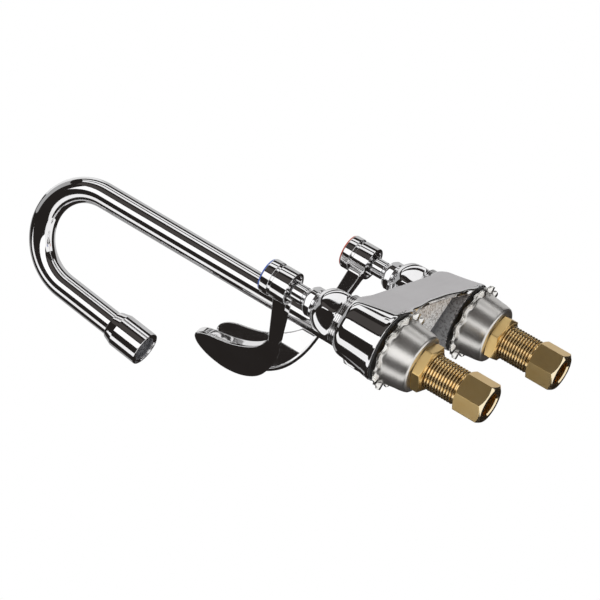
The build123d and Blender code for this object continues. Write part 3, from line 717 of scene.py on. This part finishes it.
def make_cup_mesh():
    """Stamped cup with a corrugated flange, whose teeth are the low parts of its waves."""
    floor_z, cup_rim_z = measures("cold_lock_cup")[2:]
    hole_r, wall, edge_r, tooth, lift, waves = 10.8, 1.0, 22.4, 1.7, 1.0, 12
    edge_z = cup_rim_z + 0.1
    # Points of the outline: radius, height, share of the waves' lift and share of the teeth
    side = [(hole_r, 0), (15.2, 0), (16.7, 0.25), (17.5, 1.0), (17.9, 2.2), (18.35, 4.5), (18.7, 8), (19.1, 11)]
    beads = [(0.1, 0), (0, 0.2), (0.1, 0.5), (0.6, 0.65), (0.1, 0.8), (0, 1.1), (0.1, 1.3)]
    lining = [(18.4, 12), (17.9, 9), (17.2, 4), (16.7, 2), (15.9, wall), (hole_r, wall)]
    points = [(r, floor_z + up, 0, 0) for r, up in side]
    points += [(19.5, edge_z - 1.6, 0, 0), (19.9, edge_z - 0.7, 0.3, 0), (20.5, edge_z - 0.35, 0.8, 0),
               (edge_r - 0.6, edge_z - 0.1, 1, 0.7)]
    points += [(edge_r - inset, edge_z + up, 1, 1) for inset, up in beads]
    points += [(edge_r - 0.5, edge_z + 1.35, 1, 0.8), (21.0, edge_z + 1.1, 0.9, 0.3),
               (20.0, edge_z + 0.5, 0.5, 0), (19.2, edge_z - 0.6, 0, 0)]
    points += [(r, floor_z + up, 0, 0) for r, up in lining]
    outline = spread(np.array(points), 0.5)[:, :, None]
    turn = full_turn(waves * 24)
    squareness = 1.6
    wave = np.tanh(squareness * np.cos(waves * turn)) / np.tanh(squareness)
    r = outline[:, 0] + tooth * outline[:, 3] * np.clip(0.5 - 1.4 * wave, 0, 1)
    z = outline[:, 1] + lift * outline[:, 2] * wave
    mesh = ring_mesh("lock_cup", r, z, 50)
    # The flange's edge gets the brighter zinc: a painted highlight along the ribbon.
    return two_finishes(mesh, zinc_steel, zinc_edge_painted_highlight, lambda face: out_from_axis(face) > edge_r - 0.9)


def gasket_mesh():
    """Rubber ring under a bell, with the flat of the casting's back."""
    low_z, high_z = measures("cold_deck_gasket")[2:]
    inner_r, outer_r = 10.6, 21.0
    mesh = turned("deck_gasket", soften([
        (inner_r, low_z), (outer_r, low_z, 0.5), (outer_r, high_z, 0.4), (inner_r, high_z)]))
    for vertex in mesh.vertices:
        vertex.co.y = min(vertex.co.y, back_y * MM)
    return mesh


def lock_nut_mesh():
    """A hexagon nut with bevelled ends and a turned face below."""
    low_z, high_z = measures("cold_lock_nut")[2:]
    half_flats, hole_r, bevel, washer_r, washer = 12.7, 10.55, 0.9, 11.9, 0.8
    corner_r = half_flats * 2 / sqrt(3)
    hex_low = low_z + washer
    outline = spread(soften([
        (hole_r, low_z), (washer_r, low_z, 0.25), (washer_r, hex_low, 0.1), (half_flats - 0.3, hex_low, 0.1),
        (corner_r + 0.1, hex_low + bevel, 0.5), (corner_r + 0.1, high_z - bevel, 0.5),
        (half_flats - 0.3, high_z, 0.1), (hole_r, high_z)]), 0.35)
    return turned("lock_nut", outline, AROUND_HEX, 2 * half_flats, 0.3, crease=35)


def coupling_mesh():
    """Long nut with a heavy bevel at both ends, a bevelled mouth and a stepped throat."""
    low_z, high_z = measures("cold_coupling_nut")[2:]
    half_flats, hole_r, tail_r, end_bevel = 11.1, 6.9, 8.35, 1.9
    corner_r = half_flats * 2 / sqrt(3)
    outline = spread(soften([
        (hole_r, low_z + 0.8), (hole_r + 0.8, low_z, 0.2), (half_flats - 0.7, low_z, 0.5),
        (corner_r + 0.2, low_z + end_bevel, 0.6), (corner_r + 0.2, high_z - 0.9, 0.5),
        (half_flats - 0.3, high_z, 0.3), (tail_r, high_z), (tail_r, low_z + 7.6),
        (hole_r, low_z + 4.8)]), 0.4)
    mesh = turned("coupling_nut", outline, AROUND_HEX, 2 * half_flats, 0.35, crease=35)
    # The lower end's faces get the paler brass, a painted highlight.
    end_z = (low_z + end_bevel) * MM
    return two_finishes(mesh, brass_nut, brass_end_painted_highlight, lambda face: face.normal.z < -0.3 and face.center.z < end_z)


# Valve tops

dome_bevel = 1.8
hub_top_z = 75.0


def dome_points(corner_r, skirt_z, top_r, top_z, count=22):
    """Points of an arc that starts upright at the skirt and ends at the top."""
    inset, rise = corner_r - top_r, top_z - skirt_z
    radius = (inset * inset + rise * rise) / (2 * inset)
    sweep = atan2(rise, radius - inset)
    turns = np.linspace(0, sweep, count)
    return [(corner_r - radius + radius * cos(t), skirt_z + radius * sin(t)) for t in turns]


def domed_nut_mesh(node, flats, skirt, top_r, hole_r, edge):
    """A hexagon nut whose flats run up into a dome with a small ring on top."""
    low_z, high_z = measures(node)[2:]
    corner_r = flats / sqrt(3)
    dome = dome_points(corner_r + 0.05, low_z + skirt, top_r, high_z - 0.5)
    below = [(hole_r, low_z), (corner_r - dome_bevel, low_z, 0.4), (corner_r, low_z + dome_bevel, 0.8)]
    outline = soften(below + dome + [(top_r, high_z, 0.25), (hole_r, high_z)])
    return turned(node, spread(outline, 0.4), AROUND_HEX, flats + edge / 4, edge, crease=30)


def bonnet_ring_mesh():
    """Turned ring with three round beads."""
    r, _, low_z, high_z = measures("cold_bonnet_ring")
    beads, depth, inner_r = 3, 0.7, 11.25
    share = np.linspace(0, beads, 12 * beads + 1)
    bulge = np.sqrt(np.clip(1 - (2 * np.mod(share, 1) - 1) ** 2, 0, 1))
    rise = (high_z - low_z) / beads
    outside = [(r - depth + depth * out, low_z + rise * up) for out, up in zip(bulge, share)]
    return turned("bonnet_ring", np.array([(inner_r, low_z)] + outside + [(inner_r, high_z)]), crease=70)


def packing_mesh():
    low_z, high_z = measures("cold_packing_nut")[2:]
    half_flats, flange_r, flange, hole_r = 7.95, 9.0, 1.2, 6.85
    corner_r = 2 * half_flats / sqrt(3)
    hex_low = low_z + flange
    lower = turned("packing_flange", soften([
        (hole_r, low_z), (flange_r, low_z, 0.35), (flange_r, hex_low, 0.45), (hole_r, hex_low)]))
    outline = spread(soften([
        (hole_r - 1.2, hex_low), (corner_r, hex_low, 0.2), (corner_r, high_z - 2.0, 0.8),
        (half_flats - 0.5, high_z, 0.5), (hole_r - 1.2, high_z)]), 0.3)
    upper = turned("packing_hex", outline, AROUND_HEX, 2 * half_flats + 0.2, 0.8, crease=30)
    return joined("packing_nut", lower, upper)


def joined(name, *meshes):
    """Several meshes as one."""
    shape = bmesh.new()
    for mesh in meshes:
        shape.from_mesh(mesh)
    whole = bpy.data.meshes.new(name)
    shape.to_mesh(whole)
    shape.free()
    for mesh in meshes:
        bpy.data.meshes.remove(mesh)
    return whole


def stem_mesh():
    """Round stem with a foot, a groove and a thinner top in the hub."""
    r, low_z, high_z = 5.4, *measures("cold_stem")[2:]
    foot_r, foot_top, shoulder_z, spline_r = 7.2, low_z + 2.4, high_z - 4.9, 4.6
    groove_r, groove_z = r - 0.35, 55.2
    return turned("stem", soften([
        (0, low_z), (foot_r, low_z, 0.2), (foot_r, foot_top, 0.2), (r, foot_top), (r, groove_z),
        (groove_r, groove_z + 0.3, 0.1), (groove_r, groove_z + 1.1, 0.1), (r, groove_z + 1.4),
        (r, shoulder_z, 0.3), (spline_r, shoulder_z), (spline_r, high_z, 0.2), (0, high_z)]))


def cap_mesh():
    """Cap on the hub, with a narrow seam below it and a socket for the button."""
    r, _, low_z, high_z = measures("cold_index_cap")
    inner_r, plug_r, seam_r, top_r, socket_r = 7.1, 8.5, 9.2, 9.2, 3.1
    low_edge, socket_z = hub_top_z + 1.6, high_z - 2.3
    return turned("index_cap", soften([
        (inner_r, low_z), (plug_r, low_z, 0.1), (plug_r, hub_top_z), (seam_r, hub_top_z), (seam_r, low_edge),
        (r, low_edge, 0.7), (r, high_z - 0.1, 0.7), (top_r, high_z, 0.2), (socket_r, high_z),
        (socket_r, socket_z), (0, socket_z), (0, low_edge), (inner_r, low_edge)]))


def button_mesh():
    r, _, low_z, high_z = measures("cold_index_button")
    peg_r, seat_z = 3.0, high_z - 0.8
    return turned("index_button", soften([
        (0, low_z), (peg_r, low_z, 0.2), (peg_r, seat_z), (r, seat_z), (r, high_z - 0.1, 0.3),
        (r - 1.2, high_z, 0.4), (0, high_z)]))


# Handle

hub_r = 10.2
hub_core_r = 9.3         # the arm's skin ends inside the hub's wall
handle_step = 0.6        # cell of the handle's contour
arm_length = 46.0
arm_bottom_z = 68.8
arm_drop = 2.2           # how much deeper the arm is at the hub than at the blade
arm_top_z = 75.3
blade_half = 3.0
blade_round = 0.9
blade_dish = 1.6         # how far the blade bows sideways, over dish_length from dish_start_x
dish_start_x = 44.0
dish_length = 26.0
arm_start_x = 9.0
arm_half_base = 4.5      # half of the arm's width at the hub
skin_start_x = 8.0
blade_points = [(46, 75.4), (55, 80.6), (62.4, 89.5), (67.3, 99.5), (69.8, 108.5), (71.6, 117.5), (74.6, 123.8),
                (79, 126.4), (84.6, 123.2), (89.2, 114.5), (91, 103), (89.2, 92.2), (84.6, 83.3), (78.4, 77.2),
                (70, 73), (60, 70.4), (46, 68.8)]


def smooth_line(points, steps=16):
    """A smooth open line through points, tangent to its neighbours' chords."""
    p = np.array(points, float)
    p = np.vstack((2 * p[0] - p[1], p, 2 * p[-1] - p[-2]))
    line = []
    for a, b, c, d in zip(p, p[1:], p[2:], p[3:]):
        for t in np.arange(steps) / steps:
            line.append(0.5 * (2 * b + (c - a) * t + (2 * a - 5 * b + 4 * c - d) * t * t
                               + (3 * b - a - 3 * c + d) * t ** 3))
    line.append(p[-2])
    return line


blade_outline = [(skin_start_x, arm_bottom_z), (skin_start_x, arm_top_z)]
blade_outline += [tuple(q) for q in smooth_line(blade_points)]


def handle_field(p):
    """Skin of the hub, tapered arm and the upright blade; the arm runs along +X."""
    x, y, z = p[..., 0], p[..., 1], p[..., 2]
    hub_low = measures("cold_handle")[2]
    r = np.hypot(x, y)
    hub = box_field(r, z, hub_r - 0.1, hub_low + 0.4, hub_top_z - 0.4, 0.6)
    face = polygon_field(x, z, blade_outline) + blade_round
    rise = np.clip((x - dish_start_x) / dish_length, 0, 1)
    dish = blade_dish * rise * rise * (3 - 2 * rise)
    thick = np.abs(y + dish) - blade_half + blade_round
    blade = np.hypot(np.maximum(face, 0), np.maximum(thick, 0)) - blade_round
    blade = blade + np.minimum(np.maximum(face, thick), 0)
    along = np.clip((x - arm_start_x) / (arm_length - arm_start_x), 0, 1)
    half_width = arm_half_base + (blade_half - 0.1 - arm_half_base) * along
    arm_low_z = arm_bottom_z - arm_drop * (1 - along)
    arm = box_field(y, z, half_width, arm_low_z, arm_top_z, blade_round)
    arm = overlap(arm, skin_start_x - x, x - arm_length)
    shape = soft_min(soft_min(blade, arm, 0.6), hub, 1.6)
    return overlap(shape, hub_core_r - r)


def hub_mesh():
    """The turned hub, with a recess below and a socket above for the cap."""
    low_z = measures("cold_handle")[2]
    recess_r, socket_r, hole_r, web_low, web_high = 8.4, 8.6, 4.65, low_z + 2, low_z + 7
    return turned("hub", soften([
        (recess_r, low_z, 0.2), (hub_r, low_z, 0.3), (hub_r, hub_top_z, 0.4), (socket_r, hub_top_z, 0.1),
        (socket_r, web_high), (hole_r, web_high), (hole_r, web_low), (recess_r, web_low)]))


def make_handle_mesh():
    low_z, high_z = measures("cold_handle")[2:]
    reach = max(x for x, _ in blade_points)
    return contour("handle", handle_field, (-hub_r, -hub_r, low_z), (reach, hub_r, high_z), handle_step)[0]


# Spout

tube_r = measures("spout_tube")[0]
bend_r = 32.3
bend_z = measures("spout_tube")[3] - bend_r - tube_r
bend_turn = radians(173.1)
leg_length = 66.0
tube_wall = 1.25
tube_around = 64         # segments round the tube
tube_seat = 10.0         # how deep the tube goes into the outlet
outlet_cone_end = 25.6


def tube_path():
    """Points and directions along the riser, the bend and the leg, with the spout's axis at y = 0."""
    start_z = measures("spout_tube")[2]
    riser = [((0, 0, z), (0, 0, 1)) for z in np.linspace(start_z, bend_z, 24)]
    bend = []
    for turn in np.linspace(0, bend_turn, 72)[1:]:
        centre = (0, -bend_r + bend_r * cos(turn), bend_z + bend_r * sin(turn))
        bend.append((centre, (0, -sin(turn), cos(turn))))
    end, along = (np.array(v) for v in bend[-1])
    leg = [(end + along * s, along) for s in np.linspace(0, leg_length - outlet_cone_end + tube_seat, 12)[1:]]
    return riser + bend + leg, end + along * leg_length, along


def make_tube_mesh():
    stations = tube_path()[0]
    turn = full_turn(tube_around)
    grids = []
    for radius, order in ((tube_r, stations), (tube_r - tube_wall, stations[::-1])):
        for centre, along in order:
            across = np.cross(along, (1, 0, 0))
            ring = np.outer(np.cos(turn), (1, 0, 0)) + np.outer(np.sin(turn), across)
            grids.append(np.array(centre) + radius * ring)
    return make_mesh("spout_tube", np.vstack(grids), loop_faces(len(grids), tube_around), 50)


def outlet_place():
    """Frame at the outlet's rim, with +Z back up the leg."""
    _, end, along = tube_path()
    up = -Vector(along)
    right = Vector((1, 0, 0))
    turn = Matrix((right, up.cross(right), up)).transposed().to_4x4()
    return Matrix.Translation(Vector((end[0], end[1] + spout_y, end[2])) * MM) @ turn


def outlet_mesh():
    outer_r, inner_r, bore_r, seat_r = 10.92, 9.6, 6.69, tube_r + 0.1
    barrel, throat, seat, top = 19.4, 15.2, outlet_cone_end - tube_seat, outlet_cone_end
    return turned("spout_end", soften([
        (inner_r, 0, 0.1), (outer_r, 0, 0.6), (outer_r, barrel, 0.9), (9.9, 22.6, 1.0),
        (seat_r + 1.0, top - 0.2, 0.4), (seat_r, top, 0.2), (seat_r, seat),
        (bore_r, seat), (bore_r, throat), (inner_r, throat)]))


def aerator_housing_mesh():
    low, high, outer_r, inner_r, lip_r = 0.5, 13.1, 9.55, 8.55, 7.85
    return turned("aerator_housing", soften([
        (lip_r, low, 0.2), (outer_r, low, 0.3), (outer_r, high, 0.1), (inner_r, high),
        (inner_r, low + 0.7), (lip_r, low + 0.7, 0.1)]))


def sleeve_mesh():
    """Sleeve round the foot of the tube, with a flange and a groove."""
    low_z, high_z = measures("spout_sleeve")[2:]
    r, neck_r, flange_r, flange_z, bore_r, foot_depth = 9.5, 9.1, 11.0, 33.05, 6.69, 9.5
    return turned("spout_sleeve", soften([
        (bore_r, low_z), (r, low_z, 0.3), (r, flange_z), (flange_r, flange_z, 0.1),
        (flange_r, flange_z + 2, 0.1), (neck_r, flange_z + 2), (neck_r, high_z - 3.2, 0.1),
        (neck_r - 0.35, high_z - 3.0, 0.05), (neck_r - 0.35, high_z - 2.6, 0.05), (neck_r, high_z - 2.4, 0.1),
        (neck_r, high_z - 0.5, 0.5),
        (tube_r + 0.1, high_z, 0.2), (tube_r + 0.1, low_z + foot_depth), (bore_r, low_z + foot_depth)]))


def make_pieces():
    """Every piece that stands for CAD nodes; meshes with several finishes carry their own."""
    make_casting()
    bonnet = domed_nut_mesh("cold_bonnet_nut", flats=27.0, skirt=3.0, top_r=9.2, hole_r=6.9, edge=2.2)
    spout_nut = domed_nut_mesh("spout_nut", flats=26.0, skirt=6.0, top_r=11.2, hole_r=9.4, edge=0.5)
    fixed = {
        "inlet_shank": (make_shank_mesh(), None, "brass"),
        "deck_gasket": (gasket_mesh(), rubber, "rubber"),
        "lock_cup": (make_cup_mesh(), None, "zinc_steel"),
        "lock_nut": (lock_nut_mesh(), brass_nut, "brass"),
        "coupling_nut": (coupling_mesh(), None, "brass"),
        "bonnet_ring": (bonnet_ring_mesh(), chrome_turned, "chrome"),
        "bonnet_nut": (bonnet, chrome_turned, "chrome"),
        "packing_nut": (packing_mesh(), chrome_turned, "chrome")}
    turning = {
        "stem": (stem_mesh(), chrome_turned, "chrome"),
        "index_cap": (cap_mesh(), chrome_turned, "chrome"),
        "handle": (make_handle_mesh(), chrome_handle, "chrome")}
    hub = hub_mesh()
    button = button_mesh()
    for side, sign in sides.items():
        tight = {"bonnet_nut": nut_turn, "packing_nut": packing_turn, "lock_nut": lock_nut_turn[side],
                 "coupling_nut": coupling_turn}
        for node, (mesh, finish, slot) in fixed.items():
            place = at(sign * valve_x, 0, 0, tight.get(node, 0))
            piece(f"{side}_{node}_made", mesh, finish, "base", [f"{side}_{node}"], place)
        lever, place = f"{side}_lever", at(sign * valve_x, 0, 0, -pi / 2 - sign * handle_turn)
        for node, (mesh, finish, slot) in turning.items():
            piece(f"{side}_{node}_made", mesh, finish, lever, [f"{side}_{node}"], place)
        piece(f"{side}_hub_made", hub, chrome_turned, lever, [], place)
        colour, slot = {"cold": (blue_index, "blue_index"), "hot": (red_index, "red_index")}[side]
        piece(f"{side}_index_button_made", button.copy(), colour, lever, [f"{side}_index_button"], place)
    foot, mouth = at(0, spout_y), outlet_place()
    for node, mesh, body, place in (
            ("spout_nut", spout_nut, "base", at(0, spout_y, 0, nut_turn)),
            ("spout_sleeve", sleeve_mesh(), "spout", foot), ("spout_tube", make_tube_mesh(), "spout", foot),
            ("spout_end", outlet_mesh(), "spout", mouth),
            ("aerator_housing", aerator_housing_mesh(), "spout", mouth)):
        piece(f"{node}_made", mesh, chrome_turned, body, [node], place)


def dress_inner_nodes():
    """Inner pieces keep their solids and get their finish."""
    finishes = {
        "ferrule": brass_nut, "packing_ring": nylon, "cartridge_body": brass_nut, "seat_seal": rubber,
        "lower_disc": ceramic, "upper_disc": ceramic, "stem_o_rings": rubber, "handle_screw": stainless,
        "spout_washers": nylon, "spout_o_rings": rubber, "aerator_insert": grey_plastic,
        "aerator_screen": stainless, "aerator_washer": rubber}
    for name, node in frame["nodes"].items():
        key = name.removeprefix("cold_").removeprefix("hot_")
        if key in finishes:
            node.material_slots[0].material = finishes[key]


# Stage, light and camera

view_right = Vector((-0.4626, 0.3645, -0.8082))
view_down = Vector((0.1487, -0.8668, -0.4760))
view_depth = Vector((-0.8740, -0.3404, 0.3467))
view_turn = atan2(-view_depth.y, -view_depth.x)    # where the photo's camera stands round the object
stage_axis = Vector((0.025, -0.015, 0))
card_distance = 0.8


def light_card(name, low_angle, high_angle, low_z, high_z, strength, tint=(1, 1, 1)):
    """An upright strip light that only reflections see, between two angles round the object from the camera."""
    middle = view_turn + radians(low_angle + high_angle) / 2
    half_width = card_distance * np.tan(radians(high_angle - low_angle) / 2)
    away = Vector((cos(middle), sin(middle), 0))
    side = Vector((-sin(middle), cos(middle), 0)) * half_width
    centre = stage_axis + away * card_distance
    low, high = Vector((0, 0, low_z)), Vector((0, 0, high_z))
    glowing_card(name, [centre - side + low, centre + side + low, centre + side + high, centre - side + high],
                 strength, tint)


def level_square(half, z):
    return [(-half, -half, z), (half, -half, z), (half, half, z), (-half, half, z)]


def level_card(name, z, half, strength):
    """A level light above or below the object that only reflections see."""
    glowing_card(name, [stage_axis + Vector(v) for v in level_square(half, z)], strength, (1, 1, 1))


def glowing_card(name, corners, strength, tint):
    """A flat light that only reflections see."""
    mesh = bpy.data.meshes.new(name)
    mesh.from_pydata([tuple(corner) for corner in corners], [], [(0, 1, 2, 3)])
    made, tree, shader = material(name)
    tree.nodes.remove(shader)
    glow = add_node(tree, "Emission", Color=(*tint, 1), Strength=strength)
    tree.links.new(glow.outputs["Emission"], tree.nodes["Material Output"].inputs["Surface"])
    mesh.materials.append(made)
    card = shown(name, mesh)
    card.visible_camera = card.visible_diffuse = False
    card.visible_shadow = card.visible_transmission = False


def make_stage():
    """White to the camera, dim to reflections, with strip lights, a floor and a lamp."""
    scene = bpy.context.scene
    scene.view_settings.view_transform = "Standard"
    world = bpy.data.worlds.new("studio")
    scene.world = world
    world.use_nodes = True
    tree = world.node_tree
    background = set_values(tree.nodes["Background"], Color=(0.75, 0.75, 0.75, 1))
    path = add_node(tree, "LightPath")
    seen = background.outputs["Background"]
    for ray, colour in (("Is Glossy Ray", (0.020, 0.0172, 0.016, 1)), ("Is Camera Ray", (1, 1, 1, 1))):
        other = add_node(tree, "Background", Color=colour)
        mix = add_node(tree, "MixShader")
        feed(mix, "Fac", path.outputs[ray])
        feed(mix, 1, seen)
        feed(mix, 2, other.outputs["Background"])
        seen = mix.outputs["Shader"]
    tree.links.new(seen, tree.nodes["World Output"].inputs["Surface"])
    brown = (1.0, 0.9, 0.85)
    light_card("back_light", 116, 178, -0.05, 0.7, 0.55)
    light_card("back_top", 116, 178, 0.7, 3.0, 0.85)
    light_card("high_strip", 82, 95, -0.3, 1.4, 1.0)
    light_card("upper_strip", 57, 73, -0.3, 1.4, 1.0)
    light_card("upper_room", 14, 43, -0.3, 1.4, 0.065, brown)
    light_card("key_softbox", -26, 8, -1.2, 1.0, 1.2)
    light_card("lower_strip", -88, -64, -1.2, 1.2, 1.0)
    light_card("low_back_light", -178, -128, 0.42, 1.4, 0.35)
    level_card("overhead_light", 1.5, 0.45, 0.4)
    level_card("low_light", -1.0, 0.9, 1.0)
    make_floor()
    make_lamp()


def make_floor():
    """Pale ground below the object, clear from underneath because the photo looks up at the object."""
    half_size = 3.0
    mesh = bpy.data.meshes.new("ground")
    mesh.from_pydata(level_square(half_size, cad_box[0].z), [], [(0, 1, 2, 3)])
    made, tree, shader = material("ground", Base_Color=(0.86, 0.86, 0.86, 1), Roughness=0.9)
    clear = add_node(tree, "BsdfTransparent")
    side = add_node(tree, "NewGeometry")
    mix = add_node(tree, "MixShader")
    feed(mix, "Fac", side.outputs["Backfacing"])
    feed(mix, 1, shader.outputs["BSDF"])
    feed(mix, 2, clear.outputs["BSDF"])
    tree.links.new(mix.outputs["Shader"], tree.nodes["Material Output"].inputs["Surface"])
    mesh.materials.append(made)
    ground = shown("ground", mesh)
    ground.visible_glossy = False


def make_lamp():
    """One large soft lamp above the camera's side, which mirrors leave to the strip lights."""
    data = bpy.data.lights.new("soft_lamp", "AREA")
    data.shape = "SQUARE"
    data.size = 1.6
    data.energy = 14
    turn, height, distance = view_turn + 0.9, 0.9, 1.6
    lamp = shown("soft_lamp", data)
    place = Vector((cos(turn), sin(turn), height)) * distance
    lamp.matrix_world = Matrix.Translation(place) @ place.to_track_quat("Z", "Y").to_matrix().to_4x4()
    lamp.visible_glossy = False


def make_camera():
    """The photograph's view, fitted to known points of the object."""
    offset = Vector((72.3178, 17.4406, 1610.6)) * MM
    focal_pixels = 2830.9
    frame_pixels = 600
    data = bpy.data.cameras.new("camera")
    data.sensor_width = 36
    data.lens = focal_pixels / frame_pixels * data.sensor_width
    data.clip_end = 20
    camera = shown("camera", data)
    turn = Matrix((view_right, -view_down, -view_depth)).transposed()
    place = -(view_right * offset.x + view_down * offset.y + view_depth * offset.z)
    camera.matrix_world = Matrix.Translation(place) @ turn.to_4x4()
    bpy.context.scene.camera = camera


make_pieces()
dress_inner_nodes()
make_stage()
make_camera()
